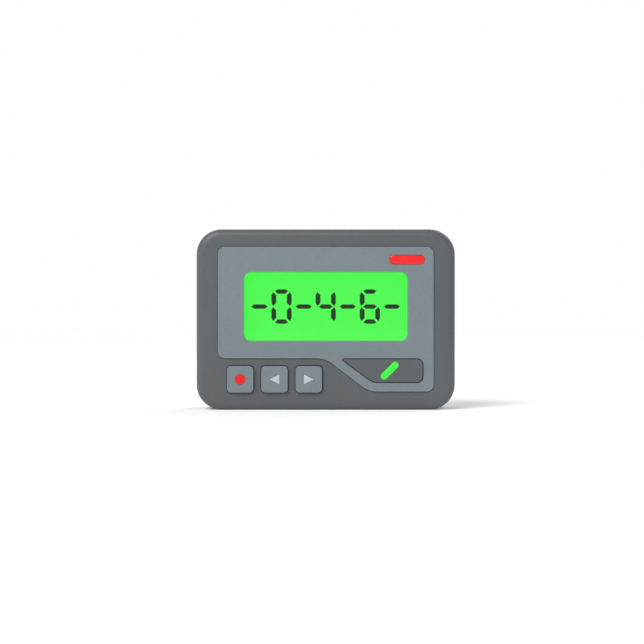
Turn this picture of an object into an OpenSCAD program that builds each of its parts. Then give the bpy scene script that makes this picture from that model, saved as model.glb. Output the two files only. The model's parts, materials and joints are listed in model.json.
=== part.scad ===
// Pocket pager with a belt clip, standing on its lower edge.
// X runs to the right across the display, Y from front to back, Z up.
// The origin is the middle of the case's bottom face. Millimetres.

/* [Case] */
// Width of the case
case_w = 82; // [80:1:86]
// Height of the case
case_h = 57.2; // [56.8:0.2:60]
// Depth of the case, without the keys and the clip
case_d = 20; // [20:0.5:23]
// Radius of the four corners, seen from the front
corner_r = 7.9; // [7.6:0.1:8.2]
// Radius of the rounded front edge
front_edge_r = 2.5; // [2:0.1:2.8]
// Radius of the rounded rear edge
rear_edge_r = 2; // [1.6:0.1:2.2]
// Thickness of the case's walls
wall = 1.8; // [1.7:0.1:1.9]

/* [Face] */
// Height that the face panel stands proud of the case
panel_rise = 0.4; // [0.2:0.1:0.5]
// Width of the visible display
screen_w = 51.8; // [50:0.1:52.5]
// Height of the visible display
screen_h = 21.8; // [21:0.1:22.1]
// Side of a square key
key_size = 8.4; // [8:0.1:8.6]
// Height that a square key stands proud of the case
key_rise = 0.9; // [0.9:0.1:1.3]
// Travel of every key
key_travel = 0.8; // [0.5:0.1:0.8]

/* [Clip] */
// Width of the belt clip's lever
clip_w = 20; // [18:1:22]
// Radius of the hinge pin
pin_r = 1; // [0.9:0.05:1.05]
// Radius of the lanyard hole in the lever
lanyard_r = 1.6; // [1.2:0.1:2]

/* [Battery] */
// Radius of the cell
cell_r = 5.25; // [5.1:0.05:5.25]
// Overall length of the cell with its positive nub
cell_l = 44.5; // [43.5:0.1:44.5]

/* [Hidden] */
$fn = 48;

// Colours
dark_grey = "#67696c";
blue_grey = "#82898f";
display_green = "#54f958";
lamp_red = "#fc3436";
mark_grey = "#c2cecf";
segment_black = "#2f352f";
board_green = "#1f5b3a";
steel = "#b9bcc0";
brass = "#c8a24a";
chip_black = "#1d1e20";
silicone = "#8d9295";

// Depths, from front to back
face_y = -case_d / 2;
back_y = case_d / 2;
seam_y = 1.5;
seam_gap = 0.1;
panel_back = face_y + 0.8;
ledge_y = face_y + 1.6;
inner_face = face_y + 2.2;
flange_front = inner_face + 0.15;
flange_back = flange_front + 0.8;
board_t = 1.2;
board_front = face_y + 5.4;
board_back = board_front + board_t;
inner_back = back_y - wall;

// Fits
part_gap = 0.05;
slide_gap = 0.2;
cut = 0.1;

// Face panel and read key. Each corner is [x, height, radius].
panel_half = 34.1;
panel_margin = 5.6;
panel_step_h = 16.3;
panel_foot_h = 5.8;
panel_r = 2.2;
bend_r = 8;
panel_corners = [
  [-panel_half, case_h - panel_margin, panel_r],
  [panel_half, case_h - panel_margin, panel_r],
  [panel_half, panel_foot_h, panel_r],
  [13.5, panel_foot_h, bend_r],
  [-0.15, panel_step_h, bend_r],
  [-panel_half, panel_step_h, panel_r]
];
read_corners = [
  [4.4, 16.25, 0.4],
  [30.85, 16.25, 2],
  [30.85, 8.65, 2],
  [14.7, 8.65, 5]
];
read_at = [20.15, 12.45];
slash_w = 2.2;
slash_l = 7.1;

// Display
screen_r = 2.3;
screen_h_mid = 32.7;
cell_size = [56.6, 25.6];
frame_size = [60, 27.4];
cell_front = inner_face + 0.65;
cell_back = cell_front + 1.4;
film_t = 0.15;
segment_t = 0.06;
strip_h = 2;
char_pitch = 7.02;
char_w = 6.4;
char_h = 10.9;
stroke = [1.5, 1.37];
readout = "-0-4-6-";

// Alert lamp
lamp_at = [25.7, 47.5];
lamp_size = [11, 2.8];
lamp_rise = 0.3;

// Square keys
key_h = 9.7;
key_pitch = 10.82;
key_x = [for (i = [0:2]) -27 + i * key_pitch];
key_r = 1.3;
key_flange = 0.75;
mark_depth = 0.35;
mark_rise = 0.05;
dot_r = 1.6;
arrow = 3.1;
dome_h = board_front - flange_back;
dome_r = 3.5;
sheet_t = 0.8;

// Screws. Each place is [x, height].
post_x = case_w / 2 - 5.7;
case_screw_at = [for (x = [-post_x, post_x], h = [19.2, case_h - 6.4]) [x, h]];
case_screw_r = 1;
post_r = 2.6;
head_seat = back_y - 2.6;
board_screw_at = [[-34.5, 34], [34.5, 34], [0, case_h - 6]];
board_screw_r = 0.8;
clip_screw_at = [[0, 41.2], [0, 51]];

// Battery bay and its door
cell_y = back_y - 6.7;
cell_h = 9;
bay_gap = 0.1;
contact_t = 0.35;
bay_half = (cell_l + contact_t + 5.4) / 2;
bay_wall = 1;
bay_top = cell_h + cell_r + 1.05;
bay_front = cell_y - cell_r - bay_gap - 1.1;
bay_bottom = wall + 0.15;
door_inner = back_y - 1.25;
door_left = -bay_half - 1.5;
door_half_h = cell_r + 0.1;
tongue = 0.8;
tongue_t = 0.5;
rib_rise = 0.35;

// Boards and what stands on them
main_size = [case_w - 5.4, case_h - 6];
receiver_x = [-32.3, 13.5];
receiver_h = [17.5, case_h - 4.2];
receiver_t = 1;
receiver_front = seam_y + 0.1;
receiver_back = receiver_front + receiver_t;
decoder_at = [-8, 36];
decoder_size = [12, 12];
memory_at = [12, 30];
memory_size = [5, 9];
shield_at = [-19, 33];
capacitor_at = [[-25, 49], [-19.5, 49], [20, 50], [25.5, 50], [29.8, 44.4]];
filter_at = [-2, 25.5];
crystal_at = [0.5, 34];
trimmer_x = 8.5;
rest_at = [[-30, 20], [11.5, 20], [-10, case_h - 6]];

// Vibration motor and sounder
motor_x = 16;
motor_l = 12;
motor_r = 3;
motor_y = 2.3;
motor_h = 22.6;
sounder_at = [29, 37];
sounder_r = 6;
sounder_t = 4;

// Clip
hinge_y = back_y + 4.8;
hinge_h = 46;
ear_r = 2.3;
base_t = 1.4;
base_size = [clip_w + 2, 15];
hub_x = [4.4, clip_w / 2 - 1.9];
lever_t = 1.8;
lever_inner = hinge_y + 2.5;
thumb_top = 56;
thumb_flare = 0.9;
lanyard_h = 19;
coil_r = 1.6;
wire_r = 0.3;
coil_turns = 5;
coil_half = 2.6;

// ---------------------------------------------------------------- helpers

function unit(v) = v / norm(v);
function flat(p) = [p.x, p.y];

// Points of one rounded corner at b, between its neighbours a and c.
function corner_points(a, b, c, r, steps = 8) =
  let (
    u = unit(a - b),
    v = unit(c - b),
    half = acos(u * v) / 2,
    centre = b + unit(u + v) * r / sin(half),
    first = b + u * r / tan(half) - centre,
    last = b + v * r / tan(half) - centre,
    start = atan2(first.y, first.x),
    turn = sign(cross(first, last)) * (180 - 2 * half)
  )
  [for (i = [0:steps]) centre + r * [cos(start + turn * i / steps), sin(start + turn * i / steps)]];

// Closed outline through corners [x, y, radius].
function outline(corners) =
  let (n = len(corners))
  [for (i = [0:n - 1])
    each corner_points(
      flat(corners[(i + n - 1) % n]), flat(corners[i]), flat(corners[(i + 1) % n]), corners[i][2])];

// Extrudes a front view, drawn as x and height, between two depths.
module plate(front, back) {
  translate([0, back, 0]) rotate([90, 0, 0]) linear_extrude(back - front) children();
}

// Extrudes a side view, drawn as y and height, between two places along X.
module side_plate(left, right) {
  translate([left, 0, 0]) rotate([90, 0, 90]) linear_extrude(right - left) children();
}

// Rounded rectangle, centred.
module rounded(size, r) {
  square([size.x - 2 * r, size.y], center = true);
  square([size.x, size.y - 2 * r], center = true);
  for (x = [-1, 1], y = [-1, 1])
    translate([x * (size.x / 2 - r), y * (size.y / 2 - r)]) circle(r);
}

// Bar with fully round ends, centred.
module pill(length, width) {
  square([length - width, width], center = true);
  for (side = [-1, 1]) translate([side * (length - width) / 2, 0]) circle(width / 2);
}

// Round bar along Y from one depth to another, at [x, height].
module rod(at, front, back, r) {
  translate([at.x, back, at.y]) rotate([90, 0, 0]) cylinder(r = r, h = back - front);
}

// Round bar along X.
module shaft(left, right, y, h, r) {
  translate([left, y, h]) rotate([0, 90, 0]) cylinder(r = r, h = right - left);
}

// Half of the case as one solid block, shrunk by inset, with its far edge rounded.
module case_block(join, far, inset, edge) {
  toward = sign(far - join);
  r = corner_r - inset;
  bend_y = far - toward * edge;
  hull()
    for (x = [-1, 1], h = [inset + r, case_h - inset - r])
      translate([x * (case_w / 2 - inset - r), 0, h]) {
        rod([0, 0], min(join, bend_y), max(join, bend_y), r, $fn = 40);
        translate([0, bend_y, 0]) rotate([90, 0, 0])
          rotate_extrude($fn = 40) translate([r - edge, 0]) circle(edge, $fn = 32);
      }
}

// Outline of the case seen from the front, shrunk by inset.
module case_outline(inset) {
  translate([0, case_h / 2]) rounded([case_w - 2 * inset, case_h - 2 * inset], corner_r - inset);
}

// Round wire along points. Each ring stands across the path and beside the fixed direction.
module wire(points, beside, r, sides = 8) {
  n = len(points);
  rings = [for (i = [0:n - 1])
    let (
      along = unit(points[min(i + 1, n - 1)] - points[max(i - 1, 0)]),
      out = unit(cross(along, beside)),
      over = cross(along, out)
    )
    for (k = [0:sides - 1])
      points[i] + r * (cos(360 * k / sides) * out + sin(360 * k / sides) * over)];
  walls = [for (i = [0:n - 2], k = [0:sides - 1])
    let (a = i * sides + k, b = i * sides + (k + 1) % sides)
    [a, a + sides, b + sides, b]];
  ends = [[for (k = [0:sides - 1]) k], [for (k = [sides - 1:-1:0]) (n - 1) * sides + k]];
  polyhedron(rings, concat(walls, ends));
}

// ------------------------------------------------------------------ front

module screen_outline(grow) {
  translate([0, screen_h_mid])
    rounded([screen_w + 2 * grow, screen_h + 2 * grow], screen_r + grow);
}

module lamp_outline(grow) {
  translate(lamp_at) pill(lamp_size.x + 2 * grow, lamp_size.y + 2 * grow);
}

module lamp_stem(grow) {
  translate(lamp_at) pill(9 + 2 * grow, 1.5 + 2 * grow);
}

module key_outline(x, grow) {
  translate([x, key_h]) rounded([key_size + 2 * grow, key_size + 2 * grow], key_r + grow);
}

module front_housing() {
  color(dark_grey)
  difference() {
    union() {
      difference() {
        case_block(seam_y - seam_gap, face_y, 0, front_edge_r);
        case_block(seam_y + 1, inner_face, wall, 0.7);
      }
      for (at = case_screw_at) rod(at, inner_face - 0.4, seam_y - seam_gap, post_r);
      for (at = board_screw_at) rod(at, inner_face - 0.4, board_front, 2.2);
    }
    plate(face_y - 1, panel_back) offset(delta = 0.1) polygon(outline(panel_corners));
    plate(panel_back - cut, ledge_y) screen_outline(1.4);
    plate(ledge_y - cut, inner_face + cut) screen_outline(0.4);
    plate(panel_back - cut, ledge_y) lamp_outline(0.75);
    plate(ledge_y - cut, inner_face + cut) lamp_stem(0.2);
    plate(panel_back - cut, inner_face + cut) polygon(outline(read_corners));
    for (x = key_x) plate(face_y - 1, inner_face + cut) key_outline(x, slide_gap);
    for (at = case_screw_at) rod(at, face_y + 3.6, seam_y, case_screw_r + 0.02);
    for (at = board_screw_at) rod(at, face_y + 2.6, board_front + cut, board_screw_r + 0.02);
  }
}

module face_panel() {
  color(blue_grey)
  plate(face_y - panel_rise, panel_back)
    difference() {
      polygon(outline(panel_corners));
      screen_outline(0);
      lamp_outline(0.1);
      polygon(outline(read_corners));
    }
}

module display_window() {
  color("white", 0.3) {
    plate(face_y - panel_rise + 0.25, panel_back + part_gap + cut) screen_outline(-0.1);
    plate(panel_back + part_gap, ledge_y - part_gap) screen_outline(1.25);
  }
}

module alert_lens() {
  color(lamp_red) {
    plate(face_y - panel_rise - lamp_rise, panel_back + part_gap + cut) lamp_outline(0);
    plate(panel_back + part_gap, ledge_y - part_gap) lamp_outline(0.65);
    plate(ledge_y - part_gap - cut, board_front - 1.6) lamp_stem(0);
  }
}

module alert_led() {
  color("white")
  plate(board_front - 1.4, board_front) translate(lamp_at) rounded([3.5, 1.8], 0.4);
}

// ---------------------------------------------------------------- display

module display_frame() {
  color(chip_black)
  difference() {
    plate(inner_face, board_front) translate([0, screen_h_mid]) rounded(frame_size, 1.2);
    plate(inner_face - cut, cell_front) translate([0, screen_h_mid]) square([53.6, 23.6], center = true);
    plate(cell_front - part_gap, board_front + cut)
      translate([0, screen_h_mid]) square(cell_size + [0.2, 0.2], center = true);
  }
}

module display_cell() {
  color("white", 0.5)
  plate(cell_front, cell_back) translate([0, screen_h_mid]) square(cell_size, center = true);
}

module display_polariser() {
  color(display_green)
  plate(cell_front - film_t, cell_front) translate([0, screen_h_mid]) square([53, 23], center = true);
}

// One segment along X, a bar whose pointed ends lean to one side.
module bar(length, width, lean) {
  half = length / 2;
  side = width / 2;
  shoulder = half - 0.65 * width;
  polygon([
    [-half, lean], [-shoulder, side], [shoulder, side],
    [half, lean], [shoulder, -side], [-shoulder, -side]
  ]);
}

// Seven-segment character. lit names its segments a to g, clockwise from the top with g in the middle.
module character(lit) {
  across = (char_w - stroke.x) / 2;
  up = (char_h - stroke.y) / 2;
  post = up - 0.3;
  lean = 0.25;
  middle = char_w - (len(lit) > 1 ? 2 : 1.2);
  cap = char_w - 2.2;
  // Each place is [name, x, height, length, width, turn, lean]
  places = [
    ["a", 0, up, cap, stroke.y, 0, lean],
    ["b", across, up / 2, post, stroke.x, 90, -lean],
    ["c", across, -up / 2, post, stroke.x, 90, -lean],
    ["d", 0, -up, cap, stroke.y, 0, -lean],
    ["e", -across, -up / 2, post, stroke.x, 90, lean],
    ["f", -across, up / 2, post, stroke.x, 90, lean],
    ["g", 0, 0, middle, stroke.y, 0, 0]
  ];
  for (place = places)
    if (len(search(place[0], lit)) > 0)
      translate([place[1], place[2]]) rotate(place[5]) bar(place[3], place[4], place[6]);
}

function lit_for(sign) =
  sign == "0" ? "abcdef" : sign == "4" ? "bcfg" : sign == "6" ? "acdefg" : "g";

module display_segments() {
  color(segment_black)
  plate(cell_front - film_t - segment_t, cell_front - film_t)
    for (i = [0:len(readout) - 1])
      translate([(i - (len(readout) - 1) / 2) * char_pitch, screen_h_mid])
        character(lit_for(readout[i]));
}

module display_backlight() {
  color("honeydew")
  plate(cell_back, cell_back + 1) translate([0, screen_h_mid]) square([53, 20], center = true);
}

module display_strip(side) {
  color(silicone)
  plate(cell_back, board_front)
    translate([0, screen_h_mid + side * (cell_size.y / 2 - strip_h / 2 - 0.2)])
      square([54, strip_h], center = true);
}

// ------------------------------------------------------------------- keys

module dot_shape() { circle(dot_r); }
module arrow_shape(way) {
  polygon([[way * arrow / 2, 0], [-way * arrow / 2, arrow / 2], [-way * arrow / 2, -arrow / 2]]);
}
module slash_shape() { rotate(45) pill(slash_l, slash_w); }

// Square key cap with a retaining flange. Its child is the shape of its mark.
module square_key(x) {
  top = face_y - key_rise;
  color(blue_grey)
  difference() {
    union() {
      plate(top, flange_back) key_outline(x, 0);
      plate(flange_front, flange_back) key_outline(x, key_flange);
    }
    plate(top - cut, top + mark_depth) translate([x, key_h]) children();
  }
}

// Mark moulded into a square key.
module square_key_mark(x, tint) {
  top = face_y - key_rise;
  color(tint)
  plate(top - mark_rise, top + mark_depth) translate([x, key_h]) children();
}

read_top = face_y - panel_rise - 0.4;

module key_read() {
  color(dark_grey)
  difference() {
    union() {
      plate(read_top, flange_back) offset(delta = -slide_gap) polygon(outline(read_corners));
      plate(flange_front, flange_back) offset(delta = key_flange) polygon(outline(read_corners));
    }
    plate(read_top - cut, read_top + mark_depth) translate(read_at) slash_shape();
  }
}

module key_read_mark() {
  color(display_green)
  plate(read_top - mark_rise, read_top + mark_depth) translate(read_at) slash_shape();
}

module keypad_sheet() {
  color(silicone)
  plate(board_front - sheet_t, board_front)
    difference() {
      translate([-2.5, 10.4]) rounded([61, 11.6], 2);
      for (x = key_x) translate([x, key_h]) circle(dome_r + 0.1);
      translate(read_at - [0, 1]) circle(dome_r + 0.1);
    }
}

// Collapsing dome under a key, with a solid boss inside that meets the pads.
module dome(at) {
  boss = key_travel + 0.1;
  color(silicone)
  translate([at.x, board_front, at.y]) rotate([90, 0, 0])
    rotate_extrude()
      polygon([
        [0, boss], [1.5, boss], [1.5, 1.6], [1.9, 1.6], [2.9, 0.7], [2.9, 0],
        [dome_r, 0], [dome_r, sheet_t], [2.4, dome_h - 0.35], [2.4, dome_h], [0, dome_h]
      ]);
}

module keypad_pads() {
  color(brass)
  for (at = concat([for (x = key_x) [x, key_h]], [read_at - [0, 1]]))
    rod(at, board_front - 0.06, board_front, 2.2);
}

// ----------------------------------------------------------------- boards

module main_board() {
  color(board_green)
  difference() {
    plate(board_front, board_back)
      difference() {
        translate([0, case_h / 2]) rounded(main_size, 3.5);
        for (at = case_screw_at, side = sign(at.x))
          translate([at.x + side * 3, at.y + (at.y > case_h / 2 ? 3 : 0)])
            square([12, at.y > case_h / 2 ? 12 : 6], center = true);
      }
    for (at = board_screw_at) rod(at, board_front - cut, board_back + cut, board_screw_r + 0.2);
  }
}

// Chip body between two depths, with a dimple in its outer face that marks the first pin.
module chip(at, size, inner, outer) {
  color(chip_black)
  difference() {
    plate(min(inner, outer), max(inner, outer)) translate(at) square(size, center = true);
    rod(at + [-size.x / 2 + 1.4, size.y / 2 - 1.4], outer - 0.15, outer + 0.15, 0.5);
  }
}

module decoder_chip() { chip(decoder_at, decoder_size, board_back + 0.15, board_back + 1.9); }
module memory_chip() { chip(memory_at, memory_size, board_back + 0.15, board_back + 1.6); }
module receiver_chip() { chip(shield_at, [7, 7], receiver_front, receiver_front - 1.3); }

// Row of bent leads on both sides of a chip.
module lead_rows(at, half, count, pitch, turned) {
  for (i = [0:count - 1], side = [-1, 1])
    translate([at.x, board_back, at.y]) rotate([0, turned, 0])
      translate([side * (half + 0.55), 0.15, (i - (count - 1) / 2) * pitch])
        union() {
          cube([1.1, 0.3, 0.35], center = true);
          translate([-side * 0.35, 0.5, 0]) cube([0.4, 1, 0.35], center = true);
        }
}

module chip_leads() {
  color(steel) {
    lead_rows(decoder_at, decoder_size.x / 2, 11, 0.95, 0);
    lead_rows(decoder_at, decoder_size.y / 2, 11, 0.95, 90);
    lead_rows(memory_at, memory_size.x / 2, 7, 1.2, 0);
  }
}

module clock_crystal() {
  color(steel) {
    plate(board_back, board_back + 0.4) translate([10, 38.5]) square([5, 1.6], center = true);
    shaft(7, 13, board_back + 1.1, 38.5, 1);
  }
}

module capacitors() {
  color("silver")
  for (at = capacitor_at) {
    rod(at, board_back, board_back + 0.6, 2.1);
    rod(at, board_back + 0.5, board_back + 3.8, 1.9);
  }
}

module board_connector() {
  color(chip_black)
  plate(board_back, receiver_front) translate([-29.7, 36]) square([2.6, 20], center = true);
}

module receiver_board() {
  color(board_green)
  plate(receiver_front, receiver_back)
    translate([(receiver_x[0] + receiver_x[1]) / 2, (receiver_h[0] + receiver_h[1]) / 2])
      rounded([receiver_x[1] - receiver_x[0], receiver_h[1] - receiver_h[0]], 1);
}

module shield_can() {
  color(steel)
  difference() {
    plate(receiver_back, receiver_back + 2.8) translate(shield_at) rounded([20, 18], 0.8);
    plate(receiver_back - cut, receiver_back + 2.5) translate(shield_at) rounded([19.4, 17.4], 0.5);
    for (x = [-6:3:6], h = [-4.5:3:4.5])
      rod(shield_at + [x, h], receiver_back + 2, receiver_back + 3, 0.5);
  }
}

module ceramic_filter() {
  color("peru")
  plate(receiver_back, receiver_back + 3.4) translate(filter_at) rounded([7, 7], 0.6);
}

module receiver_crystal() {
  color(steel) {
    plate(receiver_back, receiver_back + 0.5) translate(crystal_at) pill(11.4, 5);
    plate(receiver_back + 0.4, receiver_back + 3.5) translate(crystal_at) pill(10.6, 4.2);
  }
}

module trimmers() {
  color("white")
  for (h = [25, 31])
    difference() {
      rod([trimmer_x, h], receiver_back, receiver_back + 2.6, 2.2);
      plate(receiver_back + 2, receiver_back + 3)
        translate([trimmer_x, h]) square([3, 0.5], center = true);
    }
}

// Air-cored coils, each drawn as a row of separate turns.
module coils() {
  color(brass)
  for (h = [38.2, 43], i = [0:5])
    translate([6.4 + i * 0.72, receiver_back + 1.95, h]) rotate([0, 90, 0])
      rotate_extrude() translate([1.6, 0]) circle(0.3);
}

module loop_antenna() {
  left = -28;
  right = 7;
  top = case_h - 3;
  foot = case_h - 7;
  wide = 5;
  color(brass)
  for (part = [
      [left, top - 0.5, right, top, 0, wide],
      [left, foot, left + 0.5, top, 0, wide],
      [right - 0.5, foot, right, top, 0, wide],
      [left, foot, left + 3, top - 1, 0, 0.5],
      [right - 3, foot, right, top - 1, 0, 0.5]
    ])
    translate([part[0], receiver_back + part[4], part[1]])
      cube([part[2] - part[0], part[5], part[3] - part[1]]);
}

// --------------------------------------------------------------- actuators

module motor_can() {
  color(steel) {
    shaft(motor_x, motor_x + motor_l, motor_y, motor_h, motor_r);
    shaft(motor_x + motor_l - cut, motor_x + motor_l + 0.4, motor_y, motor_h, 1.2);
  }
}

module motor_holder() {
  color(chip_black)
  difference() {
    union() {
      shaft(motor_x + 2, motor_x + 10, motor_y, motor_h, motor_r + 0.8);
      translate([motor_x + 2, motor_y, motor_h - 3]) cube([8, inner_back - motor_y, 6]);
    }
    shaft(motor_x + 1, motor_x + 11, motor_y, motor_h, motor_r + 0.02);
  }
}

module motor_shaft() {
  color(steel) shaft(motor_x + motor_l + 0.5, motor_x + motor_l + 4.7, motor_y, motor_h, 0.5);
}

// Half-round weight that hangs below the shaft.
module motor_weight() {
  left = motor_x + motor_l + 1;
  color("dimgray")
  difference() {
    union() {
      difference() {
        shaft(left, left + 3.4, motor_y, motor_h, 2.8);
        translate([left - 1, motor_y - 5, motor_h]) cube([6, 10, 5]);
      }
      shaft(left, left + 3.4, motor_y, motor_h, 1.1);
    }
    shaft(left - 1, left + 5, motor_y, motor_h, 0.51);
  }
}

module sounder() {
  color(chip_black)
  difference() {
    rod(sounder_at, inner_back - sounder_t, inner_back, sounder_r);
    rod(sounder_at, inner_back - 1, inner_back + cut, 1.5);
  }
}

// ------------------------------------------------------------------- cell

cell_right = bay_half - contact_t - part_gap;
cell_left = cell_right - cell_l;

module cell_can() {
  color(steel) {
    shaft(cell_left, cell_right - 1.2, cell_y, cell_h, cell_r - 0.17);
    shaft(cell_right - 1.3, cell_right, cell_y, cell_h, 1.9);
  }
}

module cell_sleeve() {
  color("#2f4a5c")
  difference() {
    shaft(cell_left + 0.3, cell_right - 1.4, cell_y, cell_h, cell_r);
    shaft(cell_left, cell_right, cell_y, cell_h, cell_r - 0.15);
  }
}

// Thin upright plate across the end of the bay.
module contact_leaf(left) {
  translate([left, cell_y - 3.5, cell_h - 3.8]) cube([contact_t - part_gap, 8, 7.6]);
}

// Conical spring on a thin plate, pressing on the cell's flat end.
module contact_spring() {
  plate_x = -bay_half + contact_t;
  turns = 4;
  steps = 16 * turns;
  run = cell_left - plate_x - 2 * wire_r - part_gap;
  color(steel) {
    contact_leaf(-bay_half + part_gap);
    wire(
      [for (i = [0:steps])
        let (a = 360 * turns * i / steps, r = 3.4 - 1.5 * i / steps)
        [plate_x + wire_r + run * i / steps, cell_y + r * cos(a), cell_h + r * sin(a)]],
      [1, 0, 0], wire_r);
  }
}

module contact_plate() {
  color(steel)
  contact_leaf(bay_half - contact_t);
}

// -------------------------------------------------------------------- rear

// Channel that the door runs in, open at the right-hand end of the case.
module door_channel(inner, gap, right) {
  half_h = door_half_h - gap;
  left = door_left + 2 * gap;
  translate([left, inner, cell_h - half_h]) cube([right - left, back_y + 1 - inner, 2 * half_h]);
  translate([left, inner, cell_h - half_h - tongue])
    cube([right - left, tongue_t + 2 * (door_inner - inner), 2 * (half_h + tongue)]);
}

module label_outline(grow) {
  translate([-23.5, 35]) rounded([18 + 2 * grow, 24 + 2 * grow], 1.5 + grow);
}

module rear_housing() {
  color(dark_grey)
  difference() {
    union() {
      difference() {
        case_block(seam_y + seam_gap, back_y, 0, rear_edge_r);
        case_block(seam_y - 1, inner_back, wall, 0.7);
      }
      // Lip that locates the front housing
      difference() {
        union() {
          plate(seam_y - 1.4, seam_y + 0.3) case_outline(wall + 0.1);
          plate(seam_y + seam_gap, seam_y + 1.5) case_outline(wall - 0.3);
        }
        plate(seam_y - 2, seam_y + 2) case_outline(wall + 0.9);
      }
      for (at = case_screw_at) rod(at, seam_y + seam_gap, inner_back + 0.4, post_r);
      for (at = clip_screw_at) rod(at, inner_back - 2, inner_back + 0.4, 2);
      for (at = rest_at) rod(at, receiver_back, inner_back + 0.4, 1.5);
      // Battery bay, and the floor of the door's channel beside it
      translate([-bay_half - bay_wall, bay_front, bay_bottom])
        cube([2 * (bay_half + bay_wall), door_inner - bay_front, bay_top - bay_bottom]);
      translate([-bay_half - bay_wall, seam_y + seam_gap, 1])
        cube([2 * (bay_half + bay_wall), inner_back - seam_y, 2]);
      plate(inner_back - 1.2, inner_back + 0.4)
        intersection() {
          case_outline(1);
          translate([bay_half, 0]) square([case_w, bay_top]);
        }
    }
    shaft(-bay_half, bay_half, cell_y, cell_h, cell_r + bay_gap);
    translate([-bay_half, cell_y, cell_h - cell_r - bay_gap])
      cube([2 * bay_half, back_y, 2 * (cell_r + bay_gap)]);
    door_channel(door_inner - 0.1, 0, case_w);
    for (at = case_screw_at) {
      rod(at, seam_y, back_y + 1, case_screw_r + 0.15);
      rod(at, head_seat, back_y + 1, 2.1);
    }
    for (at = clip_screw_at) rod(at, inner_back - 1.6, back_y + 1, board_screw_r + 0.02);
    // Sound holes
    for (ring = [0:2], i = [0:max(0, 6 * ring - 1)])
      rod(sounder_at + 2.1 * ring * [cos(360 * i / max(1, 6 * ring)), sin(360 * i / max(1, 6 * ring))],
        inner_back - cut, back_y + 1, 0.55);
    plate(back_y - 0.25, back_y + 1) label_outline(0.1);
  }
}

// Sliding door with grip ribs and a sunken arrow that shows which way it opens.
module battery_door() {
  color(dark_grey) {
    difference() {
      intersection() {
        case_block(seam_y + seam_gap, back_y, 0, rear_edge_r);
        door_channel(door_inner, 0.1, case_w);
      }
      plate(back_y - 0.3, back_y + 1) translate([36.4, cell_h]) arrow_shape(1);
    }
    for (i = [0:5])
      translate([20 + 2.2 * i, back_y + rib_rise / 2 - 0.1, cell_h])
        cube([0.9, rib_rise + 0.2, 7], center = true);
  }
}

module rear_label() {
  color("silver") plate(back_y - 0.25, back_y - 0.05) label_outline(0);
}

// Pan-head screw along Y with its head's seat at a depth, pointing forwards.
module screw(at, seat, r, length, head_r, head_t) {
  color(steel)
  difference() {
    union() {
      rod(at, seat - length, seat + 0.1, r);
      rod(at, seat, seat + head_t, head_r);
    }
    plate(seat + head_t - 0.5, seat + head_t + 1)
      for (turn = [0, 90]) translate(at) rotate(turn) square([head_r * 1.3, 0.4], center = true);
  }
}

module case_screws() { for (at = case_screw_at) screw(at, head_seat, case_screw_r, 12.5, 1.9, 1.3); }
module board_screws() { for (at = board_screw_at) screw(at, board_back, board_screw_r, 3.6, 1.5, 1); }
module clip_screws() { for (at = clip_screw_at) screw(at, back_y + base_t, board_screw_r, 4.6, 1.5, 1); }

// -------------------------------------------------------------------- clip

module clip_base() {
  color(dark_grey)
  difference() {
    union() {
      plate(back_y, back_y + base_t) translate([0, hinge_h + 0.2]) rounded(base_size, 2);
      for (side = [-1, 1]) {
        ear_left = side * (clip_w / 2 - 0.6) - 1;
        shaft(ear_left, ear_left + 2, hinge_y, hinge_h, ear_r);
        translate([ear_left, back_y + base_t - 0.2, hinge_h - ear_r])
          cube([2, hinge_y - back_y - base_t + 0.2, 2 * ear_r]);
      }
    }
    shaft(-clip_w, clip_w, hinge_y, hinge_h, pin_r + 0.02);
    for (at = clip_screw_at) rod(at, back_y - 1, back_y + base_t + 1, board_screw_r + 0.15);
  }
}

// Side view of the lever: thumb tab above the hinge, long arm below, lip at the foot.
lever_corners = [
  [lever_inner + lever_t + thumb_flare, thumb_top, 0.8],
  [lever_inner + lever_t, hinge_h, 30],
  [lever_inner, 15, 5],
  [back_y + 5.5, 9.2, 2.5],
  [back_y + 0.75, 8.3, 0.7],
  [back_y + 0.75, 10, 0.6],
  [back_y + 4.1, 10.9, 1.6],
  [lever_inner - lever_t, 15, 3],
  [lever_inner, hinge_h, 30],
  [lever_inner + thumb_flare, thumb_top, 0.8]
];

// Depth of the lever's outer face at a height above the hinge.
function thumb_face(h) = lever_inner + lever_t + thumb_flare * (h - hinge_h) / (thumb_top - hinge_h);

module clip_lever() {
  half = clip_w / 2;
  color(dark_grey)
  difference() {
    union() {
      intersection() {
        side_plate(-clip_w, clip_w) polygon(outline(lever_corners));
        plate(back_y, back_y + 15)
          polygon(outline([[-half, 57, 4], [half, 57, 4], [half - 1.5, 8, 4], [1.5 - half, 8, 4]]));
      }
      for (side = [-1, 1]) {
        left = side > 0 ? hub_x[0] : -hub_x[1];
        width = hub_x[1] - hub_x[0];
        shaft(left, left + width, hinge_y, hinge_h, ear_r - 0.1);
        translate([left, hinge_y, hinge_h - 1.9]) cube([width, 3, 3.8]);
      }
      for (h = [49:1.6:54]) shaft(-6.5, 6.5, thumb_face(h) - 0.1, h, 0.45);
    }
    shaft(-clip_w, clip_w, hinge_y, hinge_h, pin_r + 0.05);
    rod([0, lanyard_h], back_y, back_y + 15, lanyard_r);
  }
}

module clip_pin() {
  color(steel) shaft(-clip_w / 2 - 0.6, clip_w / 2 + 0.6, hinge_y, hinge_h, pin_r);
}

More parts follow.
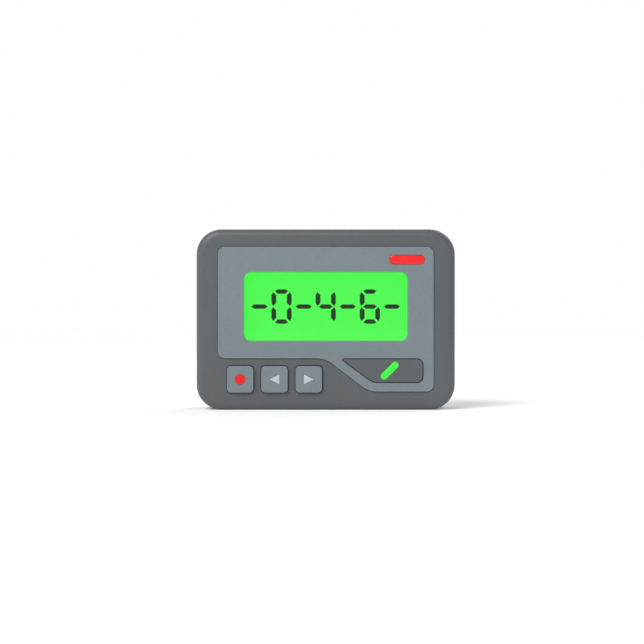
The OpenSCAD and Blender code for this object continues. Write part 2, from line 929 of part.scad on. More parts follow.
// Torsion spring round the pin. One leg presses on the lever, the other on the base.
module clip_spring() {
  steps = 14;
  last = 360 * coil_turns + 162;
  count = round(steps * last / 360);
  lever_leg = 6;
  base_leg = 4.8;
  function on_coil(i) =
    let (a = last * i / count)
    [coil_half - 2 * coil_half * i / count, hinge_y + coil_r * cos(a), hinge_h + coil_r * sin(a)];
  color(steel)
  wire(
    concat(
      [[coil_half, hinge_y + coil_r, hinge_h - lever_leg]],
      [for (i = [0:count]) on_coil(i)],
      [on_coil(count) + base_leg * [0, -sin(last), cos(last)]]
    ),
    [1, 0, 0], wire_r);
}

front_housing();
face_panel();
display_window();
alert_lens();
alert_led();
display_frame();
display_cell();
display_polariser();
display_segments();
display_backlight();
display_strip(1);  // display_strip_upper
display_strip(-1);  // display_strip_lower
square_key(key_x[0]) dot_shape();  // key_dot
square_key_mark(key_x[0], lamp_red) dot_shape();  // key_dot_mark
square_key(key_x[1]) arrow_shape(-1);  // key_left
square_key_mark(key_x[1], mark_grey) arrow_shape(-1);  // key_left_mark
square_key(key_x[2]) arrow_shape(1);  // key_right
square_key_mark(key_x[2], mark_grey) arrow_shape(1);  // key_right_mark
key_read();
key_read_mark();
keypad_sheet();
dome([key_x[0], key_h]);  // dome_dot
dome([key_x[1], key_h]);  // dome_left
dome([key_x[2], key_h]);  // dome_right
dome(read_at - [0, 1]);  // dome_read
keypad_pads();
main_board();
decoder_chip();
memory_chip();
chip_leads();
clock_crystal();
capacitors();
board_connector();
receiver_board();
receiver_chip();
shield_can();
ceramic_filter();
receiver_crystal();
trimmers();
coils();
loop_antenna();
motor_can();
motor_holder();
motor_shaft();
motor_weight();
sounder();
cell_can();
cell_sleeve();
contact_spring();
contact_plate();
rear_housing();
battery_door();
rear_label();
case_screws();
board_screws();
clip_base();
clip_lever();
clip_pin();
clip_spring();
clip_screws();
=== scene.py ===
"""Looks of the pocket pager: soft edges, materials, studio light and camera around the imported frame."""

import json
import math

import bmesh
import bpy
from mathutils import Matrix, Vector


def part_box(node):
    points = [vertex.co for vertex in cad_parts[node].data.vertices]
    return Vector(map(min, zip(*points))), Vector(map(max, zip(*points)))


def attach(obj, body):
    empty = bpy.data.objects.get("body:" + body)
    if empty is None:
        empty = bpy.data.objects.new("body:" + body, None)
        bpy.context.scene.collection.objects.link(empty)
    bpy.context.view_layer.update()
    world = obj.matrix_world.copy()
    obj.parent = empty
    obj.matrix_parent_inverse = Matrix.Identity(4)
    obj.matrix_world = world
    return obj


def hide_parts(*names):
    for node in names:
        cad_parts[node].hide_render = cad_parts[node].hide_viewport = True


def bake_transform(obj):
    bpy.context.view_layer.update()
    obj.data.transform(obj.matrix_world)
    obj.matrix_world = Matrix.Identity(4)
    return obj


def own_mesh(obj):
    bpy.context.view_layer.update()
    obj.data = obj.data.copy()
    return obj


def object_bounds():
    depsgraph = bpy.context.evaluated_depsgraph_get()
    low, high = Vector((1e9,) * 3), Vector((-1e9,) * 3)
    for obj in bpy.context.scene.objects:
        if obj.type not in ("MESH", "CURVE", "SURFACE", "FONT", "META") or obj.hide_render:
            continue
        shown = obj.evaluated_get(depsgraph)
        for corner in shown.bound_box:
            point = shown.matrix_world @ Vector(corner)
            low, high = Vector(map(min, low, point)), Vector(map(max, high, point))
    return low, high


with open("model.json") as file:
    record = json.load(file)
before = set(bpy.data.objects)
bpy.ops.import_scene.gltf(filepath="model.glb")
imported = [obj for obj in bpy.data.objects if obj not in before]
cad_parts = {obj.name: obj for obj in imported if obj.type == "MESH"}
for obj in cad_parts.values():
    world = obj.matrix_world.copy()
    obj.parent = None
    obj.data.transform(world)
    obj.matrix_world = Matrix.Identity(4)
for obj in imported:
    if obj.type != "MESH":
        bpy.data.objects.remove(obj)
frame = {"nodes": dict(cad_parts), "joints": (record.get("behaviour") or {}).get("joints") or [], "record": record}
cad_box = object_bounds()
nodes = frame["nodes"]
joints = {joint["name"]: joint for joint in frame["joints"]}
scene = bpy.context.scene

MM = 0.001


def middle_of(box):
    """The middle of a box given by its lowest and highest corners."""
    low, high = box
    return (low + high) / 2


# ---------------------------------------------------------------- camera

# The lens and the sensor are in millimetres, as Blender takes them; places are in metres.
CAMERA_AT = Vector((-1.18, -490.5, 27.8)) * MM
LENS = 85
SENSOR_WIDTH = 36
NEAREST = 10 * MM
FARTHEST = 20


def make_camera():
    """Looks straight at the face, along +Y, from where the case fills its share of the view."""
    data = bpy.data.cameras.new("camera")
    data.lens = LENS
    data.sensor_width = SENSOR_WIDTH
    data.clip_start = NEAREST
    data.clip_end = FARTHEST
    camera = bpy.data.objects.new("camera", data)
    camera.location = CAMERA_AT
    camera.rotation_euler = (math.radians(90), 0, 0)
    scene.collection.objects.link(camera)
    scene.camera = camera


make_camera()


# ------------------------------------------------------- material toolkit

WHITE = (1.0, 1.0, 1.0)

# Ranges for span(). Most of a noise lies within MOST.
FULL = (0.0, 1.0)
FALLING = (1.0, 0.0)
MOST = (0.3, 0.7)

# How edges() finds an edge: its samples, and how far the rounded normal has turned there.
EDGE_SAMPLES = 6
EDGE_TURN = (0.02, 0.3)


def shade(color, factor):
    """The colour made lighter or darker by a factor."""
    return tuple(channel * factor for channel in color)


def join(tree, socket, value):
    """Links a node's output to a socket, or sets the socket's own value. A colour gets full opacity."""
    if isinstance(value, bpy.types.NodeSocket):
        tree.links.new(value, socket)
    elif socket.type == "RGBA":
        socket.default_value = (*value, 1)
    else:
        socket.default_value = value


class Look:
    """A Principled material and the nodes that drive it. Patterns lie in object space, in metres."""

    def __init__(self, name, **sockets):
        self.material = bpy.data.materials.new(name)
        self.material.use_nodes = True
        self.tree = self.material.node_tree
        self.shader = self.tree.nodes["Principled BSDF"]
        self.place = self.add("ShaderNodeTexCoord").outputs["Object"]
        self.set(**sockets)

    def add(self, kind, values=None, **settings):
        """A new node. values fills or links its inputs, by name or number."""
        node = self.tree.nodes.new(kind)
        for setting, value in settings.items():
            setattr(node, setting, value)
        for socket, value in (values or {}).items():
            join(self.tree, node.inputs[socket], value)
        return node

    def set(self, **sockets):
        """Fills or links sockets of the shader; an underscore stands for a space."""
        for name, value in sockets.items():
            join(self.tree, self.shader.inputs[name.replace("_", " ")], value)

    def math(self, operation, first, second=0.0):
        """One step of arithmetic on numbers or the outputs of nodes."""
        return self.add("ShaderNodeMath", {0: first, 1: second}, operation=operation).outputs[0]

    def gap(self, first, second):
        """How far apart two values are."""
        return self.math("ABSOLUTE", self.math("SUBTRACT", first, second))

    def along(self, axis):
        """The place on the object along one axis, "X", "Y" or "Z"."""
        return self.add("ShaderNodeSeparateXYZ", {0: self.place}).outputs[axis]

    def scaled(self, size, stretch):
        """The place on the object in steps of size, or longer steps along an axis with stretch over 1."""
        scale = tuple(1 / (size * factor) for factor in stretch)
        return self.add("ShaderNodeMapping", {"Vector": self.place, "Scale": scale}).outputs[0]

    def noise(self, size, detail=2.0, rough=0.5, stretch=(1, 1, 1), bend=0.0):
        """Smooth noise whose features are about size across."""
        return self.add("ShaderNodeTexNoise", {
            "Vector": self.scaled(size, stretch),
            "Scale": 1.0,
            "Detail": detail,
            "Roughness": rough,
            "Distortion": bend,
        }).outputs[0]

    def cells(self, size):
        """Distance from the nearest of many scattered points about size apart."""
        values = {"Vector": self.scaled(size, (1, 1, 1)), "Scale": 1.0}
        return self.add("ShaderNodeTexVoronoi", values).outputs["Distance"]

    def span(self, value, source, target=FULL):
        """Maps value from the source range on to the target range, without going beyond."""
        return self.add("ShaderNodeMapRange", {
            "Value": value,
            "From Min": source[0],
            "From Max": source[1],
            "To Min": target[0],
            "To Max": target[1],
        }).outputs[0]

    def mix(self, share, first, second):
        """Mixes two colours."""
        values = {"Factor": share, "A": first, "B": second}
        return self.add("ShaderNodeMix", values, data_type="RGBA").outputs["Result"]

    def lay(self, base, color, mask, strength):
        """The base with another colour over it where the mask is near 1."""
        return self.mix(self.math("MULTIPLY", mask, strength), base, color)

    def edges(self, radius):
        """Near 1 along the edges of the shape, and 0 on its faces."""
        bevel = self.add("ShaderNodeBevel", {"Radius": radius}, samples=EDGE_SAMPLES)
        normal = self.add("ShaderNodeNewGeometry").outputs["Normal"]
        values = {0: bevel.outputs[0], 1: normal}
        alike = self.add("ShaderNodeVectorMath", values, operation="DOT_PRODUCT").outputs["Value"]
        return self.span(self.math("SUBTRACT", 1.0, alike), EDGE_TURN)

    def bump(self, height, depth):
        """Relief of a real depth in metres."""
        values = {"Height": height, "Distance": depth, "Strength": 1.0}
        self.set(Normal=self.add("ShaderNodeBump", values).outputs[0])


# ------------------------------------------------------------- materials

def moulded(name, color, roughness, grain=0.5, relief=0.02, edge_wear_and_highlight=1.45):
    """Moulded plastic: spark-eroded grain, slow colour drift, handling scuffs, and edges lightened partly as
    rubbed wear, partly as a painted highlight.
    """
    look = Look(name)
    pits = look.noise(grain * MM, detail=3, rough=0.6)
    drift = look.noise(14 * MM, detail=3)
    lines = look.noise(1.3 * MM, detail=6, rough=0.7, stretch=(5, 5, 0.6), bend=0.6)
    scuffs = look.span(lines, (0.62, 0.72))
    patches = look.span(look.noise(2.2 * MM, detail=4), (0.35, 0.6), (0.25, 1.0))
    rubbed_and_highlit = look.math("MULTIPLY", look.edges(0.55 * MM), patches)

    tone = look.mix(drift, shade(color, 0.94), shade(color, 1.06))
    grained = look.mix(look.span(pits, (0.35, 0.62), (0.36, 0.0)), tone, shade(color, 0.66))
    scuffed = look.lay(grained, shade(color, 1.55), scuffs, strength=0.24)
    # Lightens the band along the edges: partly rubbed wear, partly a painted highlight where edges would catch the
    # light.
    look.set(Base_Color=look.lay(scuffed, shade(color, edge_wear_and_highlight), rubbed_and_highlit, strength=0.65))

    rough = look.span(pits, MOST, (roughness - 0.07, roughness + 0.09))
    polished = look.math("SUBTRACT", rough, look.math("MULTIPLY", rubbed_and_highlit, 0.14))
    look.set(Roughness=look.math("SUBTRACT", polished, look.math("MULTIPLY", scuffs, 0.08)))
    look.bump(pits, relief * MM)
    return look.material


def printed(name, color, roughness=0.42, **sockets):
    """Moulded-in or painted mark: nearly even, with fine speckle and a few worn specks."""
    look = Look(name, **sockets)
    speck = look.noise(0.22 * MM, detail=3)
    drift = look.noise(2.5 * MM, detail=2)
    tone = look.mix(look.span(drift, MOST), shade(color, 0.93), shade(color, 1.03))
    worn = look.span(speck, (0.62, 0.75), (0.0, 0.35))
    look.set(Base_Color=look.mix(worn, tone, shade(color, 0.75)))
    look.set(Roughness=look.span(speck, MOST, (roughness - 0.08, roughness + 0.1)))
    look.bump(speck, 0.006 * MM)
    return look.material


def glowing_print_mark(name, color, glow):
    """A printed mark with a painted glow: it gives off a little light of its own colour."""
    return printed(name, shade(color, 0.8), Emission_Color=color, Emission_Strength=glow)


def alert_red():
    """Tinted polished lens over a lamp: brighter in front of the lamp, with fine prisms inside."""
    look = Look("lamp_red", Coat_Weight=0.4, Coat_Roughness=0.06, Emission_Strength=1.0)
    prisms = look.noise(0.5 * MM, detail=1, stretch=(1, 1, 9))
    drift = look.noise(3 * MM, detail=2)
    tone = look.mix(prisms, (0.6, 0.002, 0.003), (0.72, 0.004, 0.006))
    look.set(Base_Color=look.mix(look.span(drift, MOST, (0.0, 0.3)), tone, (0.5, 0.0, 0.0)))
    look.set(Roughness=look.span(drift, MOST, (0.16, 0.28)))

    values = {0: look.place, 1: middle_of(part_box("alert_led"))}
    away = look.add("ShaderNodeVectorMath", values, operation="DISTANCE").outputs["Value"]
    near = look.span(away, (5 * MM, 9.5 * MM), FALLING)
    look.set(Emission_Color=look.mix(near, (0.24, 0.0, 0.0), (0.36, 0.001, 0.002)))
    return look.material


def lit_film():
    """Back-lit film behind the characters: finely brushed, a little brighter near its two light strips."""
    look = Look("display_green", Emission_Strength=1.0)
    brush = look.noise(0.12 * MM, detail=2, stretch=(24, 1, 1))
    cloud = look.noise(16 * MM, detail=1)
    look.set(Base_Color=look.mix(brush, (0.004, 0.016, 0.004), (0.006, 0.024, 0.006)))
    look.set(Roughness=look.span(brush, FULL, (0.5, 0.65)))

    low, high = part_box("display_polariser")
    off_centre = look.gap(look.along("Z"), (low.z + high.z) / 2)
    strips = look.span(off_centre, (3 * MM, (high.z - low.z) / 2))
    bright = (0.044, 0.93, 0.050)
    even = look.mix(look.span(cloud, MOST), shade(bright, 0.965), bright)
    lifted = look.lay(even, (0.05, 0.985, 0.056), strips, strength=0.3)
    brushed = look.span(brush, (0.4, 0.6), (0.0, 0.5))
    look.set(Emission_Color=look.mix(brushed, lifted, shade(bright, 0.955)))
    return look.material


def clear(name, tint, gloss_rough, reflect):
    """Clear sheet that shows what is behind it and reflects more towards a grazing view."""
    look = Look(name)
    look.tree.nodes.remove(look.shader)
    facing = look.add("ShaderNodeLayerWeight", {"Blend": 0.5}).outputs["Facing"]
    share = look.span(look.math("POWER", facing, 4.0), FULL, (reflect, 0.9))
    smear = look.noise(7 * MM, detail=4, bend=1.2)
    rough = look.span(smear, (0.35, 0.7), (gloss_rough, gloss_rough + 0.07))
    through = look.add("ShaderNodeBsdfTransparent", {"Color": tint})
    gloss = look.add("ShaderNodeBsdfGlossy", {"Color": WHITE, "Roughness": rough})
    both = look.add("ShaderNodeMixShader", {0: share, 1: through.outputs[0], 2: gloss.outputs[0]})
    join(look.tree, look.tree.nodes["Material Output"].inputs["Surface"], both.outputs[0])
    return look.material


def metal(name, color, roughness, size=0.3, stretch=(1, 1, 1), relief=0.004):
    """Plated or drawn metal: fine lines or spangle, cloudy tarnish and smoother spots."""
    look = Look(name, Metallic=1.0)
    lines = look.noise(size * MM, detail=3, rough=0.6, stretch=stretch)
    cloud = look.noise(3.5 * MM, detail=4)
    tone = look.mix(look.span(lines, MOST), shade(color, 0.86), shade(color, 1.06))
    tarnish = look.span(cloud, (0.45, 0.75), (0.0, 0.3))
    look.set(Base_Color=look.mix(tarnish, tone, shade(color, 0.62)))
    look.set(Roughness=look.span(cloud, MOST, (roughness - 0.06, roughness + 0.1)))
    look.bump(lines, relief * MM)
    return look.material


def rubber(name, color, roughness=0.7):
    """Soft matt rubber with a dusty bloom."""
    look = Look(name, Sheen_Weight=0.2, Sheen_Roughness=0.4)
    fine = look.noise(0.18 * MM, detail=3)
    bloom = look.span(look.noise(2.4 * MM, detail=4), (0.35, 0.75))
    tone = look.mix(bloom, shade(color, 0.9), shade(color, 1.2))
    look.set(Base_Color=look.mix(look.span(fine, (0.4, 0.7), (0.0, 0.25)), tone, shade(color, 0.7)))
    look.set(Roughness=look.span(fine, MOST, (roughness - 0.08, roughness + 0.12)))
    look.bump(fine, 0.008 * MM)
    return look.material


def resin(name, color, roughness=0.35):
    """Dipped or glazed resin: an uneven skin with small sunken spots."""
    look = Look(name, Coat_Weight=0.3, Coat_Roughness=0.12)
    skin = look.noise(0.9 * MM, detail=2)
    spots = look.span(look.cells(0.8 * MM), (0.0, 0.2), (0.3, 0.0))
    tone = look.mix(skin, shade(color, 0.86), shade(color, 1.08))
    look.set(Base_Color=look.mix(spots, tone, shade(color, 0.5)))
    look.set(Roughness=look.span(skin, MOST, (roughness - 0.1, roughness + 0.1)))
    look.bump(skin, 0.02 * MM)
    return look.material


def chip_epoxy():
    """Moulded chip body: matt black epoxy with a sandy skin."""
    look = Look("chip")
    sand = look.noise(0.12 * MM, detail=4, rough=0.7)
    drift = look.noise(4 * MM, detail=3)
    tone = look.mix(drift, (0.010, 0.010, 0.011), (0.022, 0.022, 0.024))
    grains = look.span(sand, (0.5, 0.8), (0.0, 0.5))
    look.set(Base_Color=look.mix(grains, tone, (0.05, 0.05, 0.052)))
    look.set(Roughness=look.span(sand, MOST, (0.45, 0.72)))
    look.bump(sand, 0.01 * MM)
    return look.material


def copper_tracks(look):
    """Bands of parallel tracks whose direction changes from tile to tile, with some tiles left empty."""
    tile = 5.2 * MM
    pitch = 0.9 * MM
    empty_share = 0.35
    across = look.along("X")
    up = look.along("Z")
    corner = look.add("ShaderNodeCombineXYZ", {
        0: look.math("FLOOR", look.math("DIVIDE", across, tile)),
        1: look.math("FLOOR", look.math("DIVIDE", up, tile)),
    }).outputs[0]
    dice = look.add("ShaderNodeTexWhiteNoise", {"Vector": corner}, noise_dimensions="3D")
    chance = dice.outputs["Value"]
    turned = look.math("GREATER_THAN", chance, 0.5)
    sideways = look.add("ShaderNodeMix", {0: turned, 2: across, 3: up}, data_type="FLOAT").outputs[0]
    wave = look.math("FRACT", look.math("DIVIDE", sideways, pitch))
    tracks = look.span(look.gap(wave, 0.5), (0.2, 0.26), FALLING)
    second_chance = look.math("FRACT", look.math("MULTIPLY", chance, 7.0))
    return look.math("MULTIPLY", tracks, look.math("GREATER_THAN", second_chance, empty_share))


def circuit_board():
    """Solder mask over copper tracks, with plated holes and a glass weave."""
    look = Look("board", Coat_Weight=0.35, Coat_Roughness=0.15)
    copper = copper_tracks(look)
    holes = look.span(look.cells(2.6 * MM), (0.12, 0.16), FALLING)
    weave = look.noise(0.4 * MM, detail=2)
    mask = look.mix(look.span(weave, (0.35, 0.65)), (0.008, 0.075, 0.026), (0.012, 0.098, 0.036))
    tracked = look.mix(copper, mask, (0.022, 0.165, 0.06))
    look.set(Base_Color=look.mix(holes, tracked, (0.55, 0.52, 0.42)))
    look.set(Roughness=look.span(weave, MOST, (0.28, 0.42)))
    look.set(Metallic=look.math("MULTIPLY", holes, 0.8))
    look.bump(copper, 0.03 * MM)
    return look.material


def wrapped_film():
    """Shrink-wrapped film on the cell: a dark body, a pale band, a line beside it and shallow dimples."""
    look = Look("cell_wrap", Coat_Weight=0.4, Coat_Roughness=0.08)
    across = look.along("X")
    low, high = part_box("cell_sleeve")
    band_at = high.x - 12 * MM
    line_at = band_at - 1.2 * MM
    line_half = 0.3 * MM
    band = look.math("GREATER_THAN", across, band_at)
    line = look.math("LESS_THAN", look.gap(across, line_at), line_half)
    film = look.noise(1.8 * MM, detail=2, stretch=(2, 1, 1))
    body = look.mix(film, (0.022, 0.06, 0.115), (0.032, 0.08, 0.15))
    pale = look.mix(film, (0.50, 0.33, 0.12), (0.6, 0.42, 0.16))
    look.set(Base_Color=look.mix(look.math("MAXIMUM", band, line), body, pale))
    look.set(Roughness=look.span(film, MOST, (0.22, 0.36)))
    look.bump(film, 0.015 * MM)
    return look.material


def label_rules(look):
    """1 on the label's printed border and ruled lines, 0 between them."""
    border_in = 1.4 * MM
    border_half = 0.16 * MM
    rules_in = 3 * MM
    pitch = 3.6 * MM
    rule_share = 0.06
    low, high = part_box("rear_label")
    middle = (low + high) / 2
    half = (high - low) / 2
    height = look.along("Z")
    beside = look.math("SUBTRACT", look.gap(look.along("X"), middle.x), half.x)
    above = look.math("SUBTRACT", look.gap(height, middle.z), half.z)
    reach = look.math("MAXIMUM", beside, above)
    off_border = look.math("ABSOLUTE", look.math("ADD", reach, border_in))
    border = look.math("LESS_THAN", off_border, border_half)
    inside = look.math("LESS_THAN", reach, -rules_in)
    wave = look.math("FRACT", look.math("DIVIDE", look.math("SUBTRACT", height, low.z), pitch))
    rules = look.math("MULTIPLY", look.math("LESS_THAN", wave, rule_share), inside)
    return look.math("MAXIMUM", border, rules)


def blank_label():
    """Blank metallised label: finely brushed, with a printed border, ruled lines and a few handling marks."""
    look = Look("label", Metallic=0.35)
    brush = look.noise(0.12 * MM, detail=3, stretch=(30, 1, 1))
    marks = look.span(look.noise(1.1 * MM, detail=6, rough=0.7, bend=1.5), (0.62, 0.7))
    film = look.mix(brush, (0.40, 0.41, 0.42), (0.58, 0.59, 0.6))
    worn = look.lay(film, (0.3, 0.3, 0.3), marks, strength=0.3)
    look.set(Base_Color=look.mix(label_rules(look), worn, (0.07, 0.075, 0.08)))
    look.set(Roughness=look.span(brush, MOST, (0.34, 0.5)))
    look.bump(brush, 0.003 * MM)
    return look.material


CASE_GREY = (0.093, 0.101, 0.1075)
PANEL_GREY = (0.172, 0.210, 0.234)
RED = (0.78, 0.0, 0.0)
GREEN = (0.040, 0.76, 0.045)
PALE = (0.45, 0.520, 0.528)

LOOKS = {
    "case": moulded("case", CASE_GREY, 0.46),
    "panel": moulded("panel", PANEL_GREY, 0.46, grain=0.35, relief=0.007, edge_wear_and_highlight=1.35),
    "key_grey": moulded("key_grey", shade(PANEL_GREY, 1.02), 0.42, grain=0.3, relief=0.005, edge_wear_and_highlight=1.3),
    "key_dark": moulded("key_dark", shade(CASE_GREY, 0.97), 0.42, grain=0.3, relief=0.005, edge_wear_and_highlight=1.3),
    # The red and green marks carry a painted glow.
    "mark_red": glowing_print_mark("mark_red", RED, glow=0.26),
    "mark_light": printed("mark_light", PALE),
    "mark_green": glowing_print_mark("mark_green", GREEN, glow=0.3),
    "window": clear("window", (0.985, 1.0, 0.985), gloss_rough=0.02, reflect=0.018),
    "lamp_red": alert_red(),
    "lamp_body": resin("lamp_body", (0.8, 0.77, 0.66)),
    "cell_glass": clear("cell_glass", (0.9, 0.96, 0.92), gloss_rough=0.02, reflect=0.05),
    "display_green": lit_film(),
    "segment_dark": printed("segment_dark", (0.008, 0.022, 0.008), 0.7, Specular_IOR_Level=0.1),
    "diffuser": resin("diffuser", (0.74, 0.8, 0.7), 0.5),
    "black_plastic": moulded("black_plastic", (0.013, 0.013, 0.014), 0.5, grain=0.25, relief=0.006),
    "silicone": rubber("silicone", (0.30, 0.32, 0.34)),
    "black_rubber": rubber("black_rubber", (0.016, 0.016, 0.017)),
    "board": circuit_board(),
    "chip": chip_epoxy(),
    "filter_tan": resin("filter_tan", (0.52, 0.28, 0.11)),
    "trimmer_white": resin("trimmer_white", (0.76, 0.75, 0.7), 0.3),
    "tinned": metal("tinned", (0.70, 0.70, 0.68), 0.32, size=0.5),
    "steel": metal("steel", (0.46, 0.47, 0.49), 0.3, size=0.15),
    "spring_steel": metal("spring_steel", (0.62, 0.62, 0.6), 0.26, size=0.12),
    "heavy_metal": metal("heavy_metal", (0.33, 0.32, 0.3), 0.45, size=0.18, relief=0.01),
    "copper": metal("copper", (0.78, 0.40, 0.23), 0.28, size=0.3),
    "gold": metal("gold", (0.83, 0.62, 0.26), 0.25, size=0.25),
    "bare_aluminium": metal("bare_aluminium", (0.72, 0.73, 0.74), 0.3, size=0.12, stretch=(10, 1, 1)),
    "cell_wrap": wrapped_film(),
    "label": blank_label(),
    "clip_plastic": moulded("clip_plastic", (0.088, 0.094, 0.098), 0.5, grain=0.55, relief=0.016, edge_wear_and_highlight=1.7),
}
SLOT_OF = {part["node"]: part["material_slot"] for part in frame["record"]["subparts"]}


def dress(piece, slot):
    """Gives a piece the material of its slot."""
    piece.data.materials.clear()
    piece.data.materials.append(LOOKS[slot])


for name, node in nodes.items():
    dress(node, SLOT_OF[name])


# ----------------------------------------------------------------- edges

# Points closer than WELD are joined. Faces that meet within FLAT become one, and an edge over SHARP is sharp.
WELD = 2e-6
FLAT = math.radians(1)
SHARP = math.radians(38)
EDGE_STEPS = 2


def joining_group():
    """Joins the split points of a CAD mesh and clears its stored normals, so that modifiers can round it."""
    group = bpy.data.node_groups.new("join_points", "GeometryNodeTree")
    group.interface.new_socket("Geometry", in_out="INPUT", socket_type="NodeSocketGeometry")
    group.interface.new_socket("Geometry", in_out="OUTPUT", socket_type="NodeSocketGeometry")
    start = group.nodes.new("NodeGroupInput")
    end = group.nodes.new("NodeGroupOutput")
    merge = group.nodes.new("GeometryNodeMergeByDistance")
    merge.inputs["Distance"].default_value = WELD
    normals = group.nodes.new("GeometryNodeSetMeshNormal")
    normals.inputs["Remove Custom"].default_value = True
    group.links.new(start.outputs[0], merge.inputs[0])
    group.links.new(merge.outputs[0], normals.inputs[0])
    group.links.new(normals.outputs[0], end.inputs[0])
    return group


JOIN = joining_group()


def soften(name, width):
    """Rounds every sharp edge of a CAD node by width, in millimetres, and shades its curves smoothly."""
    node = nodes[name]
    node.modifiers.new("join", "NODES").node_group = JOIN
    flatten = node.modifiers.new("flatten", "DECIMATE")
    flatten.decimate_type = "DISSOLVE"
    flatten.angle_limit = FLAT
    bevel = node.modifiers.new("soften", "BEVEL")
    bevel.width = width * MM
    bevel.segments = EDGE_STEPS
    bevel.limit_method = "ANGLE"
    bevel.angle_limit = SHARP
    bevel.harden_normals = True


SOFT_EDGES = {
    "front_housing": 0.16,
    "rear_housing": 0.16,
    "battery_door": 0.18,
    "face_panel": 0.22,
    "display_window": 0.2,
    "alert_lens": 0.25,
    "key_dot": 0.35,
    "key_left": 0.35,
    "key_right": 0.35,
    "key_read": 0.3,
    "clip_lever": 0.3,
    "clip_base": 0.25,
    "rear_label": 0.03,
    "case_screws": 0.1,
    "clip_screws": 0.07,
    "clip_pin": 0.12,
    "board_screws": 0.06,
    "cell_can": 0.15,
    "decoder_chip": 0.06,
    "memory_chip": 0.06,
    "receiver_chip": 0.06,
    "shield_can": 0.06,
    "ceramic_filter": 0.1,
    "board_connector": 0.08,
    "motor_can": 0.12,
    "motor_weight": 0.1,
    "sounder": 0.12,
}
for name, width in SOFT_EDGES.items():
    soften(name, width)


# ------------------------------------------------------ rebuilt pieces

def new_piece(name, mesh, slot):
    """A visible piece with the material of its slot."""
    piece = bpy.data.objects.new(name, mesh)
    scene.collection.objects.link(piece)
    dress(piece, slot)
    return piece


def smooth_copy(node):
    """A copy of a CAD mesh with its points joined and its curves shaded smoothly."""
    mesh = node.data.copy()
    shape = bmesh.new()
    shape.from_mesh(mesh)
    bmesh.ops.remove_doubles(shape, verts=shape.verts, dist=WELD)
    for face in shape.faces:
        face.smooth = True
    for edge in shape.edges:
        edge.smooth = edge.calc_face_angle(0) < SHARP
    shape.to_mesh(mesh)
    shape.free()
    normals = mesh.attributes.get("custom_normal")
    if normals:
        mesh.attributes.remove(normals)
    return mesh


def soft_dome(key):
    """The rubber dome under a key, from its CAD mesh."""
    source = nodes["dome_" + key]
    dome = new_piece(source.name + "_soft", smooth_copy(source), "silicone")
    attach(dome, "case")
    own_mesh(dome)
    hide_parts(source.name)


for key in ("dot", "left", "right", "read"):
    soft_dome(key)


HINGE = Vector(joints["clip_swing"]["pos_m"])
COIL_R = 1.6 * MM
COIL_HALF = 2.6 * MM
WIRE_R = 0.3 * MM
TURNS = 5 + 162 / 360
LEVER_LEG = 6.0 * MM
BASE_LEG = 4.8 * MM
TURN_STEPS = 28
LEG_STEPS = 6
WIRE_SIDES = 14


def spring_line():
    """Points along the torsion spring: lever leg, coil round the pin, base leg."""
    count = round(TURN_STEPS * TURNS)
    last = 2 * math.pi * TURNS
    coil = []
    for i in range(count + 1):
        turn = last * i / count
        along = COIL_HALF - 2 * COIL_HALF * i / count
        coil.append(HINGE + Vector((along, COIL_R * math.cos(turn), COIL_R * math.sin(turn))))
    down = Vector((0, 0, -LEVER_LEG))
    out = Vector((0, -math.sin(last), math.cos(last))) * BASE_LEG
    lever_leg = [coil[0] + down * (1 - i / LEG_STEPS) for i in range(LEG_STEPS)]
    base_leg = [coil[-1] + out * (i + 1) / LEG_STEPS for i in range(LEG_STEPS)]
    return lever_leg + coil + base_leg


def tube(points, radius, sides, beside):
    """Round tube along points, closed at both ends. beside is a direction that no stretch of it runs in."""
    shape = bmesh.new()
    rings = []
    for i, point in enumerate(points):
        along = (points[min(i + 1, len(points) - 1)] - points[max(i - 1, 0)]).normalized()
        out = along.cross(beside).normalized()
        over = along.cross(out)
        ring = []
        for k in range(sides):
            turn = 2 * math.pi * k / sides
            ring.append(shape.verts.new(point + radius * (math.cos(turn) * out + math.sin(turn) * over)))
        rings.append(ring)
    for a, b in zip(rings, rings[1:]):
        for k in range(sides):
            shape.faces.new((a[k], a[(k + 1) % sides], b[(k + 1) % sides], b[k]))
    shape.faces.new(rings[0])
    shape.faces.new(rings[-1])
    bmesh.ops.recalc_face_normals(shape, faces=shape.faces)
    for face in shape.faces:
        face.smooth = len(face.verts) == 4
    mesh = bpy.data.meshes.new("tube")
    shape.to_mesh(mesh)
    shape.free()
    return mesh


def clip_spring():
    """Torsion spring of round wire, coiled round the lever's hinge pin."""
    wire = tube(spring_line(), WIRE_R, WIRE_SIDES, beside=Vector((1, 0, 0)))
    spring = new_piece("clip_spring_wire", wire, "spring_steel")
    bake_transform(spring)
    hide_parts("clip_spring")


clip_spring()


# ---------------------------------------------------------------- studio

AMBIENT = 0.5
BACKDROP = (0.985, 0.988, 0.99)
FLOOR_R = 4.0
FLOOR_SIDES = 96
FLOOR_GLOW = 0.08


def floor_material():
    """Pale matt paper, lit a little from below so that it meets the backdrop without a line."""
    look = Look("floor_paper", Roughness=0.9, Emission_Color=WHITE, Emission_Strength=FLOOR_GLOW)
    fibre = look.noise(2 * MM, detail=4)
    look.set(Base_Color=look.mix(fibre, (0.945, 0.952, 0.96), (0.965, 0.972, 0.98)))
    return look.material


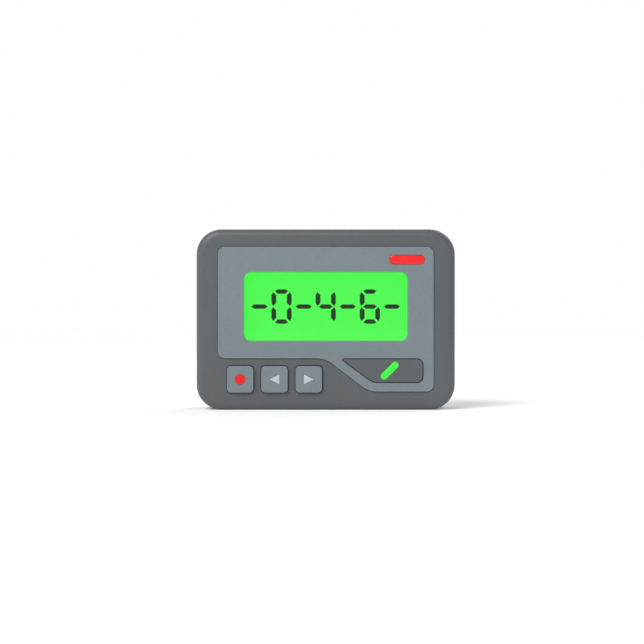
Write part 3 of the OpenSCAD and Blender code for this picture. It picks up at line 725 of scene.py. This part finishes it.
def make_floor():
    """Wide pale floor under the pager."""
    shape = bmesh.new()
    bmesh.ops.create_circle(shape, cap_ends=True, segments=FLOOR_SIDES, radius=FLOOR_R)
    mesh = bpy.data.meshes.new("floor")
    shape.to_mesh(mesh)
    shape.free()
    floor = bpy.data.objects.new("floor", mesh)
    mesh.materials.append(floor_material())
    scene.collection.objects.link(floor)


def make_world():
    """Even pale surround, dimmer as a light than as a backdrop."""
    world = bpy.data.worlds.new("studio")
    scene.world = world
    world.use_nodes = True
    tree = world.node_tree
    seen = tree.nodes["Background"]
    join(tree, seen.inputs["Color"], BACKDROP)
    light = tree.nodes.new("ShaderNodeBackground")
    join(tree, light.inputs["Color"], WHITE)
    join(tree, light.inputs["Strength"], AMBIENT)
    path = tree.nodes.new("ShaderNodeLightPath")
    both = tree.nodes.new("ShaderNodeMixShader")
    join(tree, both.inputs[0], path.outputs["Is Camera Ray"])
    join(tree, both.inputs[1], light.outputs[0])
    join(tree, both.inputs[2], seen.outputs[0])
    join(tree, tree.nodes["World Output"].inputs["Surface"], both.outputs[0])


def make_sun(name, toward, strength, spread):
    """Broad soft light from one direction; spread is its width in degrees."""
    data = bpy.data.lights.new(name, "SUN")
    data.energy = strength
    data.angle = math.radians(spread)
    lamp = bpy.data.objects.new(name, data)
    lamp.rotation_euler = Vector(toward).to_track_quat("-Z", "Y").to_euler()
    scene.collection.objects.link(lamp)


def make_softbox(name, place, size, radiance):
    """Rectangular soft light aimed at the middle of the pager. Gloss shows its outline."""
    data = bpy.data.lights.new(name, "AREA")
    data.shape = "RECTANGLE"
    data.size, data.size_y = size
    data.energy = radiance * math.pi * size[0] * size[1]
    lamp = bpy.data.objects.new(name, data)
    lamp.location = place
    lamp.rotation_euler = (middle_of(cad_box) - Vector(place)).to_track_quat("-Z", "Y").to_euler()
    lamp.visible_camera = False
    scene.collection.objects.link(lamp)


make_floor()
make_world()
make_sun("key_light", toward=(0.42, 0.58, -0.76), strength=1.75, spread=30)
make_sun("back_light", toward=(-0.5, -0.7, -0.5), strength=0.4, spread=40)
make_softbox("front_softbox", place=(-0.55, -0.62, 0.62), size=(0.55, 0.35), radiance=2.6)
make_softbox("back_softbox", place=(0.5, 0.7, 0.55), size=(0.5, 0.3), radiance=3.0)
scene.view_settings.view_transform = "Standard"
